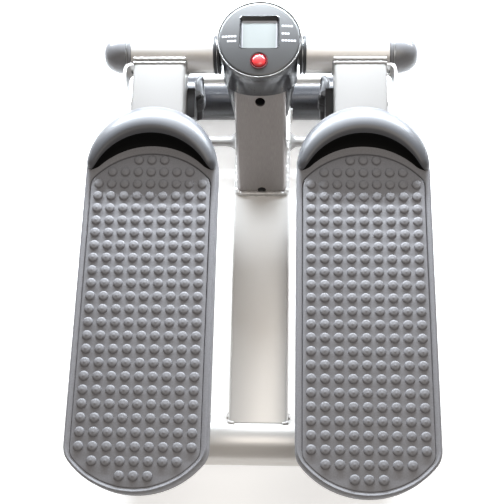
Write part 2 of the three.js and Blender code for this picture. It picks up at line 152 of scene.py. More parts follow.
def make(name, parts, looks, body, nodes=(), place=MODEL, side=1, sharp=38, bevel=0.0, cuts=()):
    """One piece: its mesh from the parts, its materials, the CAD nodes it stands for and its body."""
    def mesh_of(tag, shapes):
        bm = bmesh.new()
        for verts, faces, mat in (mirrored(p) if side < 0 else p for p in shapes):
            made = [bm.verts.new(Vector(v) * MM) for v in verts]
            for f in faces:
                bm.faces.new([made[k] for k in f]).material_index = mat
        bmesh.ops.recalc_face_normals(bm, faces=bm.faces)
        me = bpy.data.meshes.new(tag)
        bm.to_mesh(me)
        bm.free()
        return me

    me = mesh_of(name, parts)
    obj = bpy.data.objects.new(name, me)
    bpy.context.scene.collection.objects.link(obj)
    for key in looks:
        me.materials.append(M[key])
    for cut in cuts:
        tool = bpy.data.objects.new(f"{name}_tool", mesh_of(f"{name}_tool", [cut]))
        bpy.context.scene.collection.objects.link(tool)
        mod = obj.modifiers.new("cut", "BOOLEAN")
        mod.operation, mod.solver, mod.object = "DIFFERENCE", "EXACT", tool
        bpy.context.view_layer.update()
        done = bpy.data.meshes.new_from_object(obj.evaluated_get(bpy.context.evaluated_depsgraph_get()))
        obj.modifiers.clear()
        obj.data = done
        bpy.data.objects.remove(tool)
    if bevel:
        soften(obj, bevel)
    else:
        shade(obj.data, sharp)
    obj.matrix_world = place
    if nodes:
        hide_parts(*nodes)
    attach(obj, body)
    return obj


def shade(me, sharp):
    """Smooth faces, with sharp edges above an angle in degrees."""
    me.polygons.foreach_set("use_smooth", [True] * len(me.polygons))
    me.set_sharp_from_angle(angle=math.radians(sharp))


def soften(obj, width, angle=32):
    """Small rounds on the edges of a flat-sided piece."""
    obj.data.polygons.foreach_set("use_smooth", [True] * len(obj.data.polygons))
    weld = obj.modifiers.new("weld", "WELD")
    weld.merge_threshold = 0.00001
    mod = obj.modifiers.new("round", "BEVEL")
    mod.width, mod.segments, mod.limit_method = width * MM, 2, "ANGLE"
    mod.angle_limit = math.radians(angle)
    mod.harden_normals = True


# ------------------------------------------------------------------ materials
def material(name, base, rough, metal=0.0, coat=0.0, coat_rough=0.2, grain=0.0, grain_scale=60.0,
             tone=0.04, tone_scale=6.0, stretch=(1, 1, 1), rough_spread=0.08, bump=0.0, specular=0.5):
    """A Principled surface with procedural tone, roughness and grain, laid out in object space."""
    m = bpy.data.materials.new(name)
    m.use_nodes = True
    nt = m.node_tree
    n, link = nt.nodes, nt.links
    bsdf = n["Principled BSDF"]
    bsdf.inputs["Metallic"].default_value = metal
    bsdf.inputs["Coat Weight"].default_value = coat
    bsdf.inputs["Coat Roughness"].default_value = coat_rough
    bsdf.inputs["Specular IOR Level"].default_value = specular
    co = n.new("ShaderNodeTexCoord")
    mp = n.new("ShaderNodeMapping")
    mp.inputs["Scale"].default_value = stretch
    link.new(co.outputs["Object"], mp.inputs["Vector"])
    big = n.new("ShaderNodeTexNoise")
    big.inputs["Scale"].default_value = tone_scale
    big.inputs["Detail"].default_value = 3
    link.new(mp.outputs["Vector"], big.inputs["Vector"])
    fine = n.new("ShaderNodeTexNoise")
    fine.inputs["Scale"].default_value = grain_scale
    fine.inputs["Detail"].default_value = 4
    link.new(mp.outputs["Vector"], fine.inputs["Vector"])
    mix = n.new("ShaderNodeMix")
    mix.data_type = "RGBA"
    mix.inputs["A"].default_value = [max(0, c * (1 - tone)) for c in base] + [1]
    mix.inputs["B"].default_value = [min(1, c * (1 + tone)) for c in base] + [1]
    link.new(big.outputs["Fac"], mix.inputs["Factor"])
    speck = n.new("ShaderNodeMix")
    speck.data_type = "RGBA"
    speck.blend_type = "OVERLAY"
    speck.inputs["Factor"].default_value = grain
    link.new(mix.outputs["Result"], speck.inputs["A"])
    link.new(fine.outputs["Fac"], speck.inputs["B"])
    link.new(speck.outputs["Result"], bsdf.inputs["Base Color"])
    rr = n.new("ShaderNodeMapRange")
    rr.inputs["To Min"].default_value = max(0.02, rough - rough_spread)
    rr.inputs["To Max"].default_value = min(1, rough + rough_spread)
    link.new(fine.outputs["Fac"], rr.inputs["Value"])
    link.new(rr.outputs["Result"], bsdf.inputs["Roughness"])
    if bump:
        b = n.new("ShaderNodeBump")
        b.inputs["Strength"].default_value = bump
        b.inputs["Distance"].default_value = 0.0006
        link.new(fine.outputs["Fac"], b.inputs["Height"])
        link.new(b.outputs["Normal"], bsdf.inputs["Normal"])
    return m


PAINT = {"grain": 0.03, "grain_scale": 1500, "rough_spread": 0.03}
RUBBER = {"grain": 0.25, "grain_scale": 700, "bump": 0.08}
RUBBER_COLOUR, RUBBER_ROUGH = (0.183, 0.18, 0.19), 0.60
M = {
    "silver": material("silver_paint", (0.72, 0.70, 0.675), 0.32, metal=0.35, coat=0.4, coat_rough=0.14,
                       tone=0.03, **PAINT),
    # darker copies of the same silver paint: painted shade that holds back the strong low window light, a
    # little on the sleeves and cord loops, more on the arms, their welds and the cross rod
    "silver_some_painted_shade": material("silver_paint_some_painted_shade", (0.60, 0.58, 0.56), 0.34, metal=0.3, coat=0.4,
                             coat_rough=0.16, tone=0.04, **PAINT),
    "silver_more_painted_shade": material("silver_paint_more_painted_shade", (0.30, 0.29, 0.28), 0.36, metal=0.3, coat=0.25,
                           coat_rough=0.2, tone=0.04, **PAINT),
    "cap": material("cap_plastic", (0.15, 0.15, 0.157), 0.36, coat=0.4, coat_rough=0.2, grain=0.12,
                    grain_scale=900, rough_spread=0.04),
    "weld": material("weld_bead", (0.58, 0.565, 0.55), 0.42, metal=0.45, coat=0.2, grain=0.3,
                     grain_scale=500, tone=0.10, tone_scale=90, bump=0.25),
    # near-black for the front foot tube: painted shade, the tube darkened for the shade it lies in under the
    # pedals and the counter
    "foot_dark": material("front_foot_painted_shade", (0.03, 0.031, 0.036), 0.3, coat=0.5, grain=0.1,
                          grain_scale=800),
    "mast": material("brushed_mast", (0.36, 0.335, 0.325), 0.38, metal=0.75, grain=0.35, grain_scale=260,
                     stretch=(14, 0.6, 0.6), tone=0.06, tone_scale=20, bump=0.05),
    "zinc": material("zinc_plate", (0.45, 0.46, 0.47), 0.35, metal=0.9, grain=0.2, grain_scale=300),
    "black": material("black_plastic", (0.018, 0.018, 0.02), 0.5, grain=0.2, grain_scale=500, bump=0.1),
    "black_paint": material("black_paint", (0.016, 0.016, 0.018), 0.42, coat=0.1, grain=0.2,
                            grain_scale=500),
    "gloss_black": material("gloss_black_plastic", (0.010, 0.010, 0.012), 0.22, coat=0.4, grain=0.1,
                            grain_scale=500),
    "dark": material("dark_plastic", (0.050, 0.050, 0.054), 0.30, coat=0.35, coat_rough=0.15, grain=0.15,
                     grain_scale=700, bump=0.03),
    "hood": material("toe_stop_plastic", (0.075, 0.077, 0.085), 0.45, coat=0.5, coat_rough=0.38,
                     grain=0.12, grain_scale=900, rough_spread=0.04),
    # near-black painted shade for the toe stop's hollow back, standing for the shade inside it
    "hood_painted_shade": material("toe_stop_lining", (0.004, 0.004, 0.004), 0.75, grain=0.2, grain_scale=600,
                       specular=0.1),
    "face": material("face_plastic", (0.015, 0.0147, 0.0155), 0.44, coat=1.0, coat_rough=0.36, grain=0.15,
                     grain_scale=900, tone=0.05),
    # lighter grey for painted highlights: the line of light on the face's rim and the streaks on the
    # housing's back
    "rim": material("rim_painted_highlight", (0.22, 0.21, 0.20), 0.3, metal=0.3, grain=0.2, grain_scale=900),
    "step": material("display_step", (0.30, 0.30, 0.32), 0.4, grain=0.2, grain_scale=900),
    "mark": material("printed_marks", (0.5, 0.5, 0.52), 0.5, grain=0.2, grain_scale=900),
    "lcd": material("display_glass", (0.19, 0.205, 0.20), 0.5, coat=0.15, coat_rough=0.2, grain=0.05,
                    tone=0.03, tone_scale=30),
    "tread": material("tread_rubber", RUBBER_COLOUR, RUBBER_ROUGH, **RUBBER),
    "tread_dots": material("tread_rubber_dots", RUBBER_COLOUR, RUBBER_ROUGH, **RUBBER),
    "board": material("circuit_board", (0.03, 0.15, 0.05), 0.4, grain=0.2),
    "ring": material("ring_plastic", (0.10, 0.008, 0.012), 0.25, coat=0.4),
    "red": material("red_plastic", (0.78, 0.045, 0.05), 0.22, coat=0.5),
}
BY_SLOT = {"frame_silver": "silver", "foot_dark": "foot_dark", "mast_steel": "mast", "zinc_steel": "zinc",
           "black_plastic": "black", "dark_plastic": "dark", "face_plastic": "face",
           "tread_plastic": "tread", "tread_rubber": "tread", "black_paint": "black_paint",
           "lcd_glass": "face", "circuit_board": "board", "ring_plastic": "ring", "red_plastic": "red"}
EDGE_ROUND = 0.4           # on the CAD nodes that keep their own mesh, mm
SLOT_OF = {s["node"]: s["material_slot"] for s in frame["record"]["subparts"]}
for name, node in frame["nodes"].items():
    node.data.materials.clear()
    node.data.materials.append(M[BY_SLOT[SLOT_OF[name]]])
    soften(node, EDGE_ROUND)

# ------------------------------------------------------------------ pedals
TOE_S, TOE_R, HEEL_S, HEEL_R, PLATE_TOP = 134, 61.5, 354.3, 74.3, 24
RIM_Z, HEEL_START, HEEL_FADE = 24.1, -384, 10
MAT_HALF, MAT_S, MAT_R, MAT_HEEL_IN = 55.5, 190.5, 70.5, 4.6
PITCH, FIRST_ROW, DOME_R = 12, 150.2, 4.4
FULL_ROW, SHORT_ROWS = 9, {-2: 3, -1: 7, 21: 7, 22: 3}
ROWS = [(n, SHORT_ROWS.get(n, FULL_ROW)) for n in range(-2, 23)]


def pedal_outline(half, front, heel, cut):
    """A round toe, straight sides and a shallow heel; front and heel are (s of the centre, radius)."""
    (fs, fr), (hs, hr) = front, heel
    nose, turn = math.acos(min(1, half / fr)), math.asin(half / hr)
    toe = arc(0, -fs, fr, nose + cut / fr, math.pi - nose - cut / fr, 48)
    back = arc(0, -hs, hr, 1.5 * math.pi - turn + cut / hr, 1.5 * math.pi + turn - cut / hr, 32)
    toe_y, heel_y = -fs + fr * math.sin(nose), -hs - hr * math.cos(turn)
    return (toe + soft_corner(toe[-1], (-half, toe_y), (-half, toe_y - cut))[1:]
            + soft_corner((-half, heel_y + cut), (-half, heel_y), back[0])[:-1] + back
            + soft_corner(back[-1], (half, heel_y), (half, heel_y + cut))[1:]
            + soft_corner((half, toe_y - cut), (half, toe_y), toe[0])[:-1])


def heelward(y):
    """0 along the pedal, 1 round its heel."""
    t = min(1, max(0, (HEEL_START - y) / HEEL_FADE))
    return t * t * (3 - 2 * t)


def foot_row(z, inset, rim=0.0):
    """A row of the footplate's outline; rim lifts it round the heel."""
    return [(x, y, z + rim * heelward(y)) for x, y in
            pedal_outline(TOE_R - inset, (TOE_S, TOE_R - inset), (HEEL_S, HEEL_R - inset), 7)]


def mat_row(z, inset, level=None):
    """A row of the tread's outline; round the heel its height fades to level, so the groove ends there."""
    level = z if level is None else level
    return [(x, y, z + (level - z) * heelward(y)) for x, y in pedal_outline(
        MAT_HALF - inset, (MAT_S, MAT_R - inset), (HEEL_S, HEEL_R - MAT_HEEL_IN - inset), 5)]


def footplate(side, tag):
    """The pedal's shell, with a rounded rim and a groove round the tread."""
    rows = [foot_row(3, 0.7), foot_row(3.4, 0.2), foot_row(4.2, 0), foot_row(20.6, 0),
            foot_row(21.8, 0.15), foot_row(22.8, 0.6), foot_row(23.5, 1.1, 0.9), foot_row(23.9, 1.8, 1.2),
            foot_row(RIM_Z, 2.5, 0.8), foot_row(RIM_Z, 3.3, 0.15), mat_row(RIM_Z, -1.15),
            mat_row(23.7, -0.8, RIM_Z), mat_row(22.9, -0.5, RIM_Z), mat_row(22.3, -0.15, RIM_Z),
            mat_row(18.4, -0.1), foot_row(18.2, 3), foot_row(3, 3)]
    make("footplate_shell_" + tag, [skin(rows, close=True)], ["tread"], "pedal_" + tag,
         ["footplate_" + tag], place=pedal_place(side), side=side, sharp=50)


def dome(x, y):
    """One knob of the tread."""
    profile = [(DOME_R + 0.1, RIM_Z), (DOME_R, 24.7), (4.1, 25.4), (3.5, 25.9), (2.5, 26.15), (1.5, 26.2),
               (1.0, 26.4), (0.2, 26.5)]
    return spin(profile, at=(x, y, 0), steps=16)


def tread(side, tag):
    flat = skin([mat_row(22.3, 0.3), mat_row(23.4, 0.25, 24.0), mat_row(23.95, 0.6, RIM_Z),
                 mat_row(24.15, 1.3)])
    domes = [dome(PITCH * (i - (count - 1) / 2), -FIRST_ROW - PITCH * n)
             for n, count in ROWS for i in range(count)]
    make("tread_" + tag, [flat] + domes, ["tread_dots"], "pedal_" + tag, ["tread_mat_" + tag],
         place=pedal_place(side), side=side, sharp=50)


def toe_stop(side, tag):
    """A bumper round the toe with a hollow back and two rounded ends; the hollow back's inner wall is
    near-black painted shade.
    """
    low, back_s, back_r, steps = PLATE_TOP + 0.3, 180.3, 68.3, 96
    end_height, rise, end_share, end_least = 4.5, 16.3, 0.045, 0.06
    tip, r = math.radians(2.2), TOE_R - 0.4
    lean = math.acos(52 / back_r)
    # the section, as (share of the depth, share of the height)
    front = [(0.0, 0.0), (0.004, 0.12), (0.02, 0.27), (0.06, 0.43), (0.13, 0.6), (0.22, 0.75), (0.33, 0.87),
             (0.45, 0.95), (0.56, 0.99), (0.65, 1.0), (0.72, 0.975), (0.77, 0.92), (0.805, 0.84),
             (0.825, 0.74)]
    wall = [(0.835, 0.62), (0.85, 0.46), (0.87, 0.3), (0.905, 0.15), (0.95, 0.05), (1.0, 0.0)]
    rows = []
    for i in range(steps + 1):
        t = i / steps
        a, b = (-s + (math.pi + 2 * s) * t for s in (tip, -lean))
        out = Vector((r * math.cos(a), -TOE_S + r * math.sin(a)))
        back = Vector((back_r * math.cos(b), -back_s + back_r * math.sin(b)))
        tall = end_height + rise * math.sin(math.pi * t) ** 0.75
        end = min(1, min(t, 1 - t) / end_share)
        k = max(end_least, math.sqrt(1 - (1 - end) ** 2))
        rows.append([(*(out + (back - out) * (0.5 + (u - 0.5) * k)), low + tall * v * k)
                     for u, v in front + wall])
    verts, faces, _ = skin(rows)
    n = len(rows[0])
    # the inner wall's faces get the near-black painted shade, the rest the toe stop's own plastic
    inner = [f for f in faces if len(f) == 4 and min(k % n for k in f) >= len(front) - 1]
    outer = [f for f in faces if f not in inner]
    for name, part, look, stands in (("toe_stop_", outer, "hood", ["toe_hood_" + tag]),
                                     ("toe_stop_painted_shade_wall_", inner, "hood_painted_shade", [])):
        make(name + tag, [(verts, part, 0)], [look], "pedal_" + tag, stands,
             place=pedal_place(side), side=side, sharp=60)


def arm(side, tag):
    """The rectangular arm, coped round the sleeve, and its weld beads."""
    w, h, corner, bore, weld_r, end = 25.5, 15, 3.4, 18.8, 18.9, -330
    outline = rect(w, h, corner)
    inside = rect(w - 2.5, h - 2.5, 1.5)
    cope = [(x, -math.sqrt(bore ** 2 - z ** 2), z) for x, z in outline]
    tube = skin([[(x, end, z) for x, z in inside], [(x * 0.995, end, z * 0.99) for x, z in outline],
                 [(x, end + 0.6, z) for x, z in outline], cope,
                 [(x, -math.sqrt(bore ** 2 - z ** 2), z) for x, z in inside]], close=True)
    # the arm takes the darkest copy of the silver: painted shade
    make("arm_tube_" + tag, [tube], ["silver_more_painted_shade"], "pedal_" + tag, ["pedal_arm_" + tag],
         place=pedal_place(side), side=side)

    def seam(y, z, r, seed):
        return sweep([(w - 2 * w * i / 40, y + 0.25 * math.sin(i * 1.1 + seed), z) for i in range(41)],
                     r, steps=14, wobble=0.07, seed=seed)

    down = [(w + 0.1, -math.sqrt(max(0, weld_r ** 2 - z * z)) - 0.2, z)
            for z in [13 - 26 * i / 16 for i in range(17)]]
    # its welds take the same darkest silver: painted shade
    make("arm_weld_" + tag, [seam(-13.4, 14.2, 2.5, 2 + side), seam(-17.4, 13.9, 2.0, 5 - side),
                             sweep(down, 1.5, steps=10, wobble=0.14, seed=1.0),
                             sweep([(-x, y, z) for x, y, z in down], 1.5, steps=10, wobble=0.14, seed=4.0)],
         ["silver_more_painted_shade"], "pedal_" + tag, place=pedal_place(side), side=side, sharp=70)


def cord_eye(side, tag):
    """The curved band beside the arm, cut where the sleeve passes."""
    outer = [(25.6, -16.6), (30.4, -16.8), (33.8, -19.2), (35.4, -24.5), (35.5, -31), (34.9, -38),
             (33.4, -46), (31.0, -54), (28.4, -60.2), (25.6, -63.2)]
    inner = [(25.6, -58.6), (27.9, -53.6), (30.4, -45), (31.9, -37), (32.5, -30.6), (32.3, -25),
             (31.0, -21.0), (29.0, -19.4), (25.6, -19.2)]
    outline = smooth_line(outer, 4) + smooth_line(inner, 4)
    rows = [[(x, y, z) for x, y in outline] for z in (-8, 13)]
    collar = spin([(0.02, 20), (19.7, 20), (19.7, 45), (0.02, 45)], axis="x")
    # the cord loop takes the slightly darkened silver: painted shade
    make("cord_loop_" + tag, [skin(rows)], ["silver_some_painted_shade"], "pedal_" + tag, ["cord_eye_" + tag],
         place=pedal_place(side), side=side, bevel=0.5, cuts=[collar])


def smooth_line(points, steps):
    """A Catmull-Rom curve through the points."""
    pts = [points[0]] + list(points) + [points[-1]]
    out = []
    for i in range(1, len(pts) - 2):
        for k in range(steps):
            t = k / steps
            out.append(tuple(0.5 * (2 * b + (c - a) * t + (2 * a - 5 * b + 4 * c - d) * t * t
                                    + (3 * b - a - 3 * c + d) * t ** 3)
                             for a, b, c, d in zip(*pts[i - 1:i + 3])))
    return out + [tuple(points[-1])]


def pivot(side, tag):
    """The sleeve that turns on the axle, its domed end cap and the flanged bush next to the mast."""
    place = Matrix.Translation(AXLE * MM)
    body = "pedal_" + tag

    def turned(name, look, points, steps, nodes=(), sharp=38):
        make(name + tag, [spin(points, axis="x", steps=steps, close=True)], [look], body, nodes,
             place=place, side=side, sharp=sharp)

    sleeve = [(15.5, 45.5), (18.1, 45.5), (18.5, 45.9), (18.5, 126.4), (18.1, 126.8), (15.5, 126.8)]
    # the sleeve takes the slightly darkened silver: painted shade
    turned("sleeve_", "silver_some_painted_shade", sleeve, 96, ["pivot_sleeve_" + tag])
    ball = [(19.2 * math.cos(a) ** 0.75, 131.9 + 23.9 * math.sin(a) ** 0.9) for a in
            (math.pi / 2 * i / 22 for i in range(23))]
    cap = [(13.4, 121), (15.2, 121), (15.2, 127.1), (18.6, 127.1), (19, 127.5), (19, 130.3), (18.7, 130.6)]
    ring = [(18.7, 130.6), (18.2, 130.75), (18.2, 131.5), (18.9, 131.7)]
    inside = [(0.02, 150), (9, 148), (13.4, 140)]
    turned("pivot_cap_", "cap", cap + ring + ball + inside, 96, ["end_cap_" + tag], sharp=50)
    cap_line = [(18.3, 130.8), (18.75, 130.85), (18.75, 131.45), (18.3, 131.5)]
    turned("pivot_cap_line_", "zinc", cap_line, 96)
    flange = [(10.4, 39), (18.4, 39), (19, 39.4), (19, 41.3), (18.4, 41.7), (17.4, 41.8), (17.4, 42.4),
              (18.6, 42.5), (19, 42.9), (19, 44.9), (18.6, 45.3), (15.2, 45.4), (15.2, 61.5), (10.4, 61.5)]
    turned("flanged_bush_", "black", flange, 80, ["inner_bushing_" + tag])
    washer = [(14.5, 41.9), (17.9, 41.9), (17.9, 42.3), (14.5, 42.3)]
    turned("bush_line_", "zinc", washer, 80)


for side, tag in SIDES:
    footplate(side, tag)
    tread(side, tag)
    toe_stop(side, tag)
    arm(side, tag)
    cord_eye(side, tag)
    pivot(side, tag)


# ------------------------------------------------------------------ base
def rail(name, nodes, half, y, look):
    """A round foot tube across the machine."""
    tube = [(23, -half), (25, -half), (25, half), (23, half)]
    make(name, [spin(tube, axis="x", at=(0, y, RAIL_Z), steps=96, close=True)], [look], "frame", nodes)


def rail_cap(name, node, half, y, side):
    """A foot tube's end cap and the block it stands on."""
    r, lip = 27.3, half + 5
    sleeve = [(25.4, half - 16), (r - 0.6, half - 16), (r, half - 15.4), (r, lip - 0.8),
              (r - 0.5, lip + 0.6), (r - 1.6, lip + 2), (r - 3.4, lip + 3.2), (r - 5.6, lip + 3.9),
              (14, lip + 4), (0.02, lip + 4), (0.02, half + 0.4), (25.4, half + 0.4)]
    foot = skin([[(x, fy, z) for x, fy in rect(w, d, 4, cx=half - 5.5, cy=y)] for z, w, d in
                 ((0.0, 9.6, 16.1), (0.8, 10.4, 16.9), (13, 10.5, 17))])
    make(name, [spin(sleeve, axis="x", at=(0, y, RAIL_Z), steps=80, close=True), foot], ["black"], "frame",
         [node], side=side)


def base():
    """The two foot tubes, the spine between them, their weld beads and the cross rod."""
    rail("rear_rail", ["rear_foot_tube"], REAR_HALF, REAR_Y, "silver")
    # the front foot tube takes the near-black painted shade
    rail("front_rail", ["front_foot_tube"], FRONT_HALF, FRONT_Y, "foot_dark")
    for side, tag in SIDES:
        rail_cap("rear_cap_" + tag, "rear_foot_cap_" + tag, REAR_HALF, REAR_Y, side)
        rail_cap("front_cap_" + tag, "front_foot_cap_" + tag, FRONT_HALF, FRONT_Y, side)

    def cope(pts, at, way, r):
        return [(x, at + way * math.sqrt(r ** 2 - (z - RAIL_Z) ** 2), z) for x, z in pts]

    outline, inside, cope_r = rect(30, 20, 3.4, cy=RAIL_Z), rect(27.5, 17.5, 1.5, cy=RAIL_Z), 25.6
    spine = skin([cope(inside, REAR_Y, 1, cope_r), cope(outline, REAR_Y, 1, cope_r),
                  cope(outline, FRONT_Y, -1, cope_r), cope(inside, FRONT_Y, -1, cope_r)], close=True)
    make("spine", [spine], ["silver"], "frame", ["spine_tube"], sharp=50)

    # weld beads: at the spine's four corners on the rear rail, and along its joint with the front rail
    def upright(sx, at, way, seed):
        pts = [(sx * 30.4, at + way * math.sqrt(25.8 ** 2 - (z - RAIL_Z) ** 2) + way * 0.3, z) for z in
               [46 - 30 * i / 16 for i in range(17)]]
        return sweep(pts, 1.8, steps=12, wobble=0.18, seed=seed)

    beads = []
    for sx in (1, -1):
        beads.append(upright(sx, REAR_Y, 1, 2 * sx))
        blob = [(sx * (30.6 - 7 * i / 6), REAR_Y + 15.5 + 0.6 * math.sin(i), 49.6) for i in range(7)]
        beads.append(sweep(blob, 1.9, steps=12, wobble=0.2, seed=sx))
        beads.append(upright(sx, FRONT_Y, -1, 3 * sx))
    beads.append(sweep([(28 - 56 * i / 40, FRONT_Y - 15.6, 49.8) for i in range(41)], 2.0, steps=12,
                       wobble=0.16))
    make("base_welds", beads, ["weld"], "frame", sharp=70)

    half_rod = [(5.2, -118), (5.5, -117.6), (5.5, -85.4), (7.6, -85.4), (8, -85), (8, -81.4), (7.6, -81),
                (5.5, -81), (5.5, -42), (5.9, -38), (6.9, -35), (8.6, -32.4), (10.8, -30.4), (10.8, -30.2),
                (5.4, -30)]
    rod = [(0.02, -118)] + half_rod + [(r, -h) for r, h in half_rod[::-1]] + [(0.02, 118)]
    # the cross rod takes the darkest copy of the silver: painted shade
    make("cross_rod", [spin(rod, axis="x", at=(0, ROD_Y, RAIL_Z), steps=48)], ["silver_more_painted_shade"], "frame",
         ["damper_crossrod"])


def mast():
    """The leaning square mast with a hole at its top and base, and the bead round its foot."""
    w, t, top, hole_r = 26, 3, 8, 5

    def foot(pts, z_row):
        return [(x, y, (z_row - AXLE_Z - y * math.sin(MAST_TILT)) / math.cos(MAST_TILT)) for x, y in pts]

    outline, inside = rect(w, w, 4.2), rect(w - t, w - t, 2)
    tube = skin([foot(inside, SPINE_TOP), foot(outline, SPINE_TOP), [(x, y, top) for x, y in outline],
                 [(x, y, top) for x, y in inside]], close=True)
    holes = [spin([(0.02, -36), (hole_r, -36), (hole_r, -18), (0.02, -18)], axis="y", at=(0, 0, z))
             for z in (-38.7, -147.5)]
    make("mast", [tube], ["mast"], "frame", ["mast_tube"], place=MAST, sharp=50, cuts=holes)
    ring = foot(rect(w + 0.8, w + 0.8, 4.6, steps=8), SPINE_TOP)
    dense = []
    for a, b in zip(ring, ring[1:] + ring[:1]):
        n = max(1, int((Vector(b) - Vector(a)).length / 1.6))
        dense += line(a, b, n)[:-1]
    make("mast_weld", [sweep(dense + dense[:1], 2.7, steps=14, wobble=0.16, seed=5.0)], ["weld"], "frame",
         place=MAST, sharp=70)
    # black sheets painted as shade inside the mast's hollow: across its foot, in the notch there and below
    # the upper hole
    bore, plate = rect(w - t - 0.1, w - t - 0.1, 2), (SPINE_TOP + 0.2, SPINE_TOP - 0.25)
    make("mast_painted_shade", [skin([foot(bore, z) for z in plate]),
                       skin([foot(rect(4.2, 1.6, 0.4, cy=1.5 - w), z) for z in plate]),
                       skin([[(x, y, z) for x, y in bore] for z in (-44, -44.4)])],
         ["black"], "frame", place=MAST)


base()
mast()


# ------------------------------------------------------------------ rocker and dampers
def rocker():
    """The bar that tips on a pin in front of the mast, and the roller at each of its bent ends."""
    p, t, bar_r, paint_from = 40, -49.4, 5, 62
    low = t - 7.7
    parts = [spin([(6.2, t - 7.5), (10.6, t - 7.5), (11, t - 7), (11, t + 7), (10.6, t + 7.5),
                   (6.2, t + 7.5)], at=(0, p, 0), steps=48, close=True)]
    ends = []
    for s in (1, -1):
        bend = [(s * 8, p, t), (s * 40, p, t), (s * 58, p, t), (s * 63.6, p - 0.4, t - 0.2),
                (s * 66.3, p - 3.4, t - 1.8), (s * 66.1, p - 9, t - 5), (s * 64.6, 22, t - 11.6),
                (s * 63.8, 15, t - 13.6), (s * 64.4, 8, t - 14), (s * 65.8, 0, t - 14), (s * 67, -7, t - 14)]
        curve = smooth_line(bend, 5)
        turn = next(i for i, point in enumerate(curve) if abs(point[0]) > paint_from)
        parts.append(sweep(curve[:turn + 1], bar_r, steps=28))
        ends.append(sweep(curve[turn:], bar_r + 0.02, steps=28, mat=1))
        ends.append(spin([(0.02, low - 11.3), (6.6, low - 11.3), (7, low - 10.8), (7, low - 0.9),
                          (6.6, low - 0.3), (4, low - 0.3), (4, low + 14.3), (6.2, low + 14.3),
                          (6.5, low + 14.6), (6.5, low + 16.6), (6, low + 17.2), (0.02, low + 17.2)],
                         at=(s * ROLLER_X, ROLLER_Y, 0), steps=40, mat=1))
    parts += ends
    make("rocker_bar", parts, ["silver", "black_paint"], "rocker", ["rocker_beam"], place=MAST)
    for side, tag in SIDES:
        wheel = [(4.1, low), (8, low), (8.8, low + 0.5), (9, low + 1.2), (9, low + 5.6), (8.6, low + 6.1),
                 (8.6, low + 7.9), (9, low + 8.4), (9, low + 12.8), (8.8, low + 13.5), (8, low + 14),
                 (4.1, low + 14)]
        make("roller_" + tag, [spin(wheel, at=(ROLLER_X, ROLLER_Y, 0), steps=64, close=True)], ["black"],
             "roller_" + tag, ["rocker_roller_" + tag], place=MAST, side=side)


def damper():
    """Each damper's cylinder, from the cross rod up, and its rod, down from the pin under the pedal."""
    pin = Vector((0, AXLE.y - PIN_S * math.cos(SLOPE) + PIN_DROP * math.sin(SLOPE),
                  AXLE.z - PIN_S * math.sin(SLOPE) - PIN_DROP * math.cos(SLOPE)))
    foot = Vector((0, ROD_Y, RAIL_Z))
    along = pin - foot
    length = along.length
    tilt = Matrix.Rotation(math.atan2(-along.y, along.z), 4, "X")
    for side, tag in SIDES:
        place = Matrix.Translation((foot + Vector((side * PEDAL_X, 0, 0))) * MM) @ tilt
        eye = spin([(5.7, -12), (10, -12), (10.5, -11.5), (10.5, 11.5), (10, 12), (5.7, 12)], axis="x",
                   steps=48, close=True)
        tube = [(8.6, 9), (9, 16), (14.4, 14.2), (16.2, 14.8), (17, 16.4), (17, 103), (16.5, 103.4),
                (16.5, 104.6), (17, 105), (17, 115.6), (16.2, 117.3), (14.6, 118), (8.4, 118), (7.6, 117.2),
                (7.6, 115), (5.2, 115), (5.2, 112), (13, 112), (13, 20), (0.02, 20), (0.02, 10)]
        make("damper_tube_" + tag, [eye, spin(tube, steps=64, close=True)], ["black_paint"],
             "damper_cylinder_" + tag, ["damper_cylinder_" + tag], place=place)
        rod = [(0.02, length - 114), (12.6, length - 114), (12.6, length - 106), (5, length - 106),
               (5, length - 14), (6.6, length - 13), (6.6, length - 8), (0.02, length - 7)]
        knuckle = spin([(5.5, -10), (10, -10), (10.5, -9.5), (10.5, 9.5), (10, 10), (5.5, 10)], axis="x",
                       at=(0, 0, length), steps=48, close=True)
        make("damper_piston_" + tag, [knuckle, spin(rod, steps=40)], ["zinc"], "damper_rod_" + tag,
             ["damper_rod_" + tag], place=place)


rocker()
damper()


# ------------------------------------------------------------------ counter
FACE_Y, FACE_LOW = AXLE.y + 0.7, 187.2
LCD_X, LCD_LOW, LCD_HIGH, BUTTON_Y = 19.2, 356.4 - Y_MID, 391.4 - Y_MID, 343.5 - Y_MID


def window_row(z, side_in, top_in, low_in, r):
    """A rounded rectangle at height z, inset from the display's opening."""
    cy, h = (LCD_LOW + low_in + LCD_HIGH - top_in) / 2, (LCD_HIGH - LCD_LOW - top_in - low_in) / 2
    return [(x, y, z) for x, y in rect(LCD_X - side_in, h, r, steps=6, cy=cy)]


def crown(r):
    """The height of the slightly domed face at a radius."""
    return 189.5 + 2.3 * (1 - (r / 38.6) ** 2)


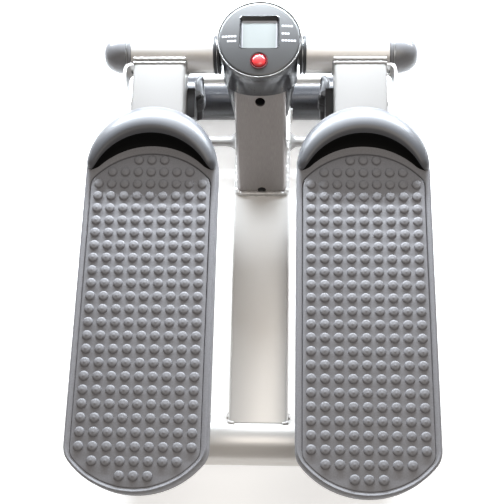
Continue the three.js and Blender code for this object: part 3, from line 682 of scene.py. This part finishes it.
def counter():
    """The face with its rim and a lighter ring along it as painted highlight, the recessed display and the
    button in its ring.
    """
    face = ([(0.02, 187.3), (40.4, 187.3), (40.9, 187.7), (41, 188.3), (40.9, 188.9), (40.3, 189.4),
             (39.9, 189.3), (39.5, 188.9), (39.2, 188.9), (38.9, 189.2)]
            + [(r, crown(r)) for r in (38.4, 37, 34, 30, 25, 20, 15, 10, 5, 0.02)])
    hole = skin([window_row(z, 0, 0, 0, 3.2) for z in (180, 195)])
    well = spin([(0.02, 180), (8.7, 180), (8.7, 195), (0.02, 195)], at=(0, BUTTON_Y, 0))
    make("face", [spin(face, at=(0, FACE_Y, 0), steps=120)], ["face"], "frame", ["console_bezel"], sharp=40,
         cuts=[hole, well])
    # a lighter ring on the face's edge: painted highlight where the rim catches the light
    make("face_edge_painted_highlight", [spin([(39.95, 189.32), (40.35, 189.42), (40.8, 189.1), (41.0, 188.5), (40.6, 188.4)],
                           at=(0, FACE_Y, 0), steps=120, close=True)], ["rim"], "frame")
    top = 191.55
    well_rows = [window_row(top - 0.35, -0.2, -0.15, -0.1, 3.3), window_row(top - 0.1, 0.25, 0.4, 0.15, 3),
                 window_row(top - 0.5, 0.7, 1.0, 0.35, 2.6), window_row(189.0, 2.0, 4.3, 0.8, 1.6),
                 window_row(188.0, 2.1, 4.4, 0.9, 1.5), window_row(187.9, -0.15, -0.1, -0.1, 3.2)]
    make("display_frame", [skin(well_rows, close=True)], ["gloss_black"], "frame", ["lcd_module"], sharp=40)
    step = [window_row(188.95, 2.0, 4.3, 0.8, 1.6), window_row(189.0, 2.3, 4.6, 1.0, 1.4),
            window_row(188.75, 3.2, 6.6, 1.2, 1.0), window_row(188.4, 3.2, 6.6, 1.2, 1.0),
            window_row(188.4, 2.0, 4.3, 0.8, 1.6)]
    make("display_step", [skin(step, close=True)], ["step"], "frame", sharp=40)
    make("display", [skin([window_row(188.3, 3.0, 6.4, 1.1, 1), window_row(188.68, 3.0, 6.4, 1.1, 1)])],
         ["lcd"], "frame", ["lcd_window"])
    make("button_surround", [spin([(6.6, 187), (6.6, 189.9), (7.0, 190.7), (7.6, 191.1), (8.3, 191.1),
                                   (8.65, 190.7), (8.65, 187)], at=(0, BUTTON_Y, 0), steps=64, close=True)],
         ["ring"], "frame", ["button_ring"])
    make("button", [spin([(0.02, FACE_LOW), (6.4, FACE_LOW), (6.4, 190.4), (6.25, 191.2), (5.7, 191.9),
                          (4.6, 192.5), (3.2, 192.9), (1.6, 193.1), (0.02, 193.15)], at=(0, BUTTON_Y, 0),
                         steps=64)], ["red"], "reset_button", ["reset_button"])


def label(x0, x1, y, words):
    """A row of plain white dashes that stands for a printed word."""
    parts, gap, half_height = [], 0.5, 1.05
    width = (x1 - x0 - gap * (words - 1)) / words
    for i in range(words):
        a = x0 + i * (width + gap)
        parts.append(skin([[(px, py, z + crown(math.hypot(px, py - FACE_Y)))
                            for px, py in rect(width / 2, half_height, 0.3, steps=2, cx=a + width / 2, cy=y)]
                           for z in (-0.2, 0.1)]))
    return parts


def labels():
    rows = [(-36.2, -22.2, 369.4, 5), (-31, -22.2, 364.4, 3), (21.6, 32.2, 380.6, 4), (21.6, 29, 372.2, 3),
            (21.6, 35.4, 364.8, 5)]
    make("face_marks", [p for x0, x1, y, n in rows for p in label(x0, x1, y - Y_MID, n)], ["mark"], "frame")


def neck():
    """The housing: it bends from the level face to a cup round the leaning mast, with a tongue each side."""
    down = Vector((0, -math.sin(-MAST_TILT), -math.cos(MAST_TILT)))
    top, cup_drop, around, levels = Vector((0, FACE_Y, FACE_LOW)), 26, 80, 15
    cup = AXLE + down * cup_drop
    full = 2 * math.pi * (around - 1) / around
    rows = []
    for i in range(levels):
        u = i / (levels - 1)
        centre = (top * (1 - u) ** 3 + (top + Vector((0, 0, -16))) * 3 * u * (1 - u) ** 2
                  + (cup - down * 18) * 3 * u * u * (1 - u) + cup * u ** 3)
        bend = -MAST_TILT * (3 * u * u - 2 * u ** 3)
        r = 40.5 - 3.2 * min(1, u * 1.7) ** 0.7 if i else 40.6
        row = []
        for x, y in arc(0, 0, 1, 0, full, around - 1):
            flat = 1 - 0.035 * max(0, min(1, (u - 0.1) * 4)) * max(0, -y) ** 6
            row.append(tuple(centre + Vector((r * x, r * y * flat * math.cos(bend),
                                              -r * y * flat * math.sin(bend)))))
        rows.append(row)
    lid = [tuple(top + Vector((x, y, 0))) for x, y in arc(0, 0, 38, 0, full, around - 1)]
    inner = [tuple(cup + (Vector(p) - cup) * 0.965 - down * 0.1) for p in rows[-1]]
    body = skin([lid] + rows + [inner, [tuple(Vector(p) * 0.5 + cup * 0.5 - down * 3) for p in inner]])
    make("housing", [body], ["dark"], "frame", ["console_housing"], sharp=45)
    tongues = []
    for s in (1, -1):
        rows = []
        for k in range(17):
            t = -22 - 44 * k / 16
            r = 37.25 + (28 - 37.25) * max(0, (-20 - t) / 46)
            y = min(25.6, math.sqrt(max(0.4, r * r - 26.9 ** 2)))
            edge = [(s * math.sqrt(r * r - q * q), q, t) for q in [y - 2 * y * j / 14 for j in range(15)]]
            rows.append(edge + [(s * 26.2, -y, t), (s * 26.2, y, t)])
        tongues.append(skin(rows))
    make("housing_tongues", tongues, ["dark"], "frame", place=MAST, sharp=45)
    # two thin ribs stand for ridges on the housing's back; their lighter grey is painted highlight
    ribs = []
    for s in (1, -1):
        a = math.radians(-90 + s * 36)
        ribs.append(sweep([(37.1 * math.cos(a), 37.0 * math.sin(a) * 0.985, t) for t in range(-24, -8, 2)],
                          0.8, steps=10))
    make("housing_ribs_painted_highlight", ribs, ["rim"], "frame", place=MAST)


counter()
labels()
neck()


# ------------------------------------------------------------------ studio and camera
def studio():
    """A pale floor, a low strip light and a larger lamp on the front (+y) side, and a warm lamp above."""
    bpy.ops.mesh.primitive_plane_add(size=12, location=(0, 0, -0.0002))
    floor = bpy.context.object
    floor.name = "studio_floor"
    paper = material("floor_paper", (0.9, 0.9, 0.9), 0.9, tone=0.01, grain=0.02, tone_scale=0.5)
    glow = paper.node_tree.nodes["Principled BSDF"].inputs
    glow["Emission Color"].default_value = (1, 1, 1, 1)
    glow["Emission Strength"].default_value = 0.45
    floor.data.materials.append(paper)
    world = bpy.data.worlds.new("studio_world")
    bpy.context.scene.world = world
    world.use_nodes = True
    world.node_tree.nodes["Background"].inputs["Color"].default_value = (1.0, 0.93, 0.86, 1)
    world.node_tree.nodes["Background"].inputs["Strength"].default_value = 0.27

    def area(name, where, at, size, power, colour):
        data = bpy.data.lights.new(name, "AREA")
        data.shape, data.energy, data.color = "RECTANGLE", power, colour
        data.size, data.size_y = size
        lamp = bpy.data.objects.new(name, data)
        bpy.context.scene.collection.objects.link(lamp)
        lamp.location = where
        lamp.rotation_euler = (Vector(at) - Vector(where)).to_track_quat("-Z", "Y").to_euler()

    area("window", (0, 0.52, 0.31), (0, 0, 0.17), (1.0, 0.04), 21, (0.86, 0.93, 1.0))
    area("front", (-0.1, 1.25, 1.25), (0, 0.1, 0.15), (0.9, 0.7), 6.5, (0.90, 0.95, 1.0))
    area("ceiling", (0.3, -0.2, 1.8), (0, 0, 0.1), (1.1, 1.0), 10.5, (1.0, 0.94, 0.87))


def camera():
    """The photograph's viewpoint, from a fit of the tubes, the pedals' domes and the mast."""
    e, yaw, roll, focal, frame_width, sensor = 1.284, -0.154, -0.141, 949.3, 504, 36
    look = Vector((math.sin(yaw) * math.cos(e), math.cos(yaw) * math.cos(e), -math.sin(e)))
    right = Vector((math.cos(yaw), -math.sin(yaw), 0))
    up = right.cross(look)
    r = right * math.cos(roll) + up * math.sin(roll)
    u = -right * math.sin(roll) + up * math.cos(roll)
    data = bpy.data.cameras.new("camera")
    data.sensor_width, data.sensor_fit, data.lens = sensor, "HORIZONTAL", focal / frame_width * sensor
    data.clip_end = 50
    cam = bpy.data.objects.new("camera", data)
    bpy.context.scene.collection.objects.link(cam)
    cam.matrix_world = (Matrix.Translation((0.034085, (-85.866 - Y_MID) * MM, 1.009953))
                        @ Matrix((r, u, -look)).transposed().to_4x4())
    bpy.context.scene.camera = cam


studio()
camera()
bpy.context.scene.view_settings.view_transform = "Standard"
